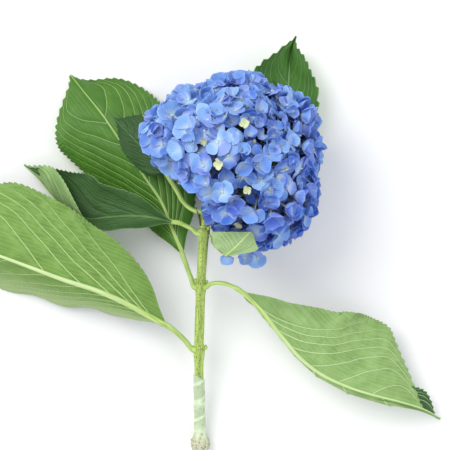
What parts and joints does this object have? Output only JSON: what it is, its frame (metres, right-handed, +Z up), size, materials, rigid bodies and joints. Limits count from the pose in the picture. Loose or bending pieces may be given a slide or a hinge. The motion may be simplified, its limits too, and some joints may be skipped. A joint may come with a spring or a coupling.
{
  "type": "cut hydrangea",
  "caption": "Cut hydrangea lying down: a round blue mophead of four-petalled florets on a green stem with broad toothed leaves, its cut end wrapped in clear film.",
  "frame": {"origin": "middle of the flower's outline, at table height", "axes": "+Y along the stem towards the flower head, +Z up from the table that the flower lies on, +X to the right of the stem seen from above"},
  "size_m": [0.4225, 0.3385, 0.1446],
  "materials": {
    "stem": "satin",
    "film": "gloss",
    "leaf": "satin",
    "branch": "matte",
    "petal": "matte"
  },
  "bodies": {
    "root": {"floret_01": "petal", "floret_02": "petal", "floret_03": "petal", "floret_04": "petal", "floret_05": "petal", "floret_06": "petal", "floret_07": "petal", "floret_08": "petal", "floret_09": "petal", "floret_10": "petal", "floret_11": "petal", "floret_12": "petal", "floret_13": "petal", "floret_14": "petal", "floret_15": "petal", "floret_16": "petal", "floret_17": "petal", "floret_18": "petal", "floret_19": "petal", "floret_20": "petal", "floret_21": "petal", "floret_22": "petal", "floret_23": "petal", "floret_24": "petal", "floret_25": "petal", "floret_26": "petal", "floret_27": "petal", "floret_28": "petal", "floret_29": "petal", "floret_30": "petal", "floret_31": "petal", "floret_32": "petal", "floret_33": "petal", "floret_34": "petal", "floret_35": "petal", "floret_36": "petal", "floret_37": "petal", "floret_38": "petal", "floret_39": "petal", "floret_40": "petal", "floret_41": "petal", "flower_branches": "branch", "leaf_lower_left": "leaf", "leaf_middle_left": "leaf", "leaf_middle_right": "leaf", "leaf_top_left": "leaf", "leaf_top_right": "leaf", "leaf_upper_left": "leaf", "leaf_upper_right_trimmed": "leaf", "stem": "stem", "stem_film": "film"}
  },
  "joints": []
}
